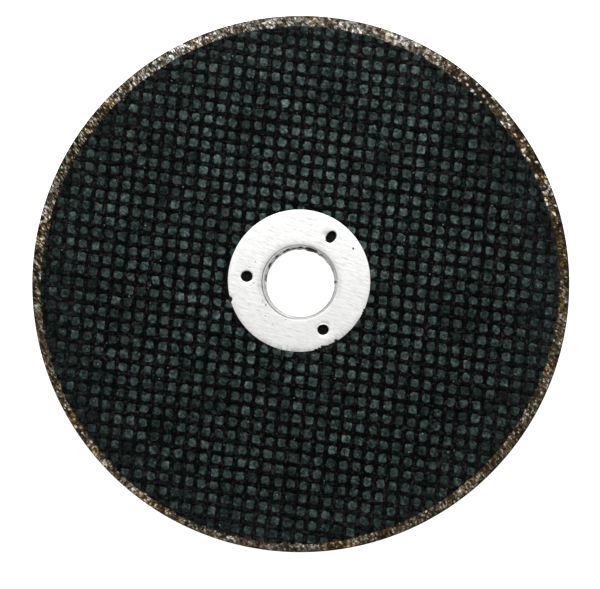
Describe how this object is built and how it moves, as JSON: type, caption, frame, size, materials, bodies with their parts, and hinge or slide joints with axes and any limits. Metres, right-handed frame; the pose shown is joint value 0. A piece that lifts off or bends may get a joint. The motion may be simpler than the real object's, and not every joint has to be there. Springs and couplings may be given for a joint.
{
  "type": "cut-off wheel",
  "caption": "Thin round bonded-abrasive cutting wheel with a net-reinforced dark face, a bare brown grit rim and a stamped metal ring lining the mounting bore.",
  "frame": {"origin": "centre of the bore on the wheel's back face, which lies on the surface", "axes": "+Z along the bore out of the net-covered front face; +Y towards the top of the reference view and +X to its right"},
  "size_m": [0.178, 0.178, 0.0031],
  "materials": {
    "abrasive": "resin-bonded brown abrasive grain, dressed bare at the rim",
    "net": "glass-fibre threads soaked in dark resin, matt",
    "ring_metal": "bright tinned sheet metal with fine brush marks"
  },
  "bodies": {
    "root": {"abrasive_disc": "abrasive", "reinforcing_net": "net", "centre_ring": "ring_metal"}
  },
  "joints": []
}
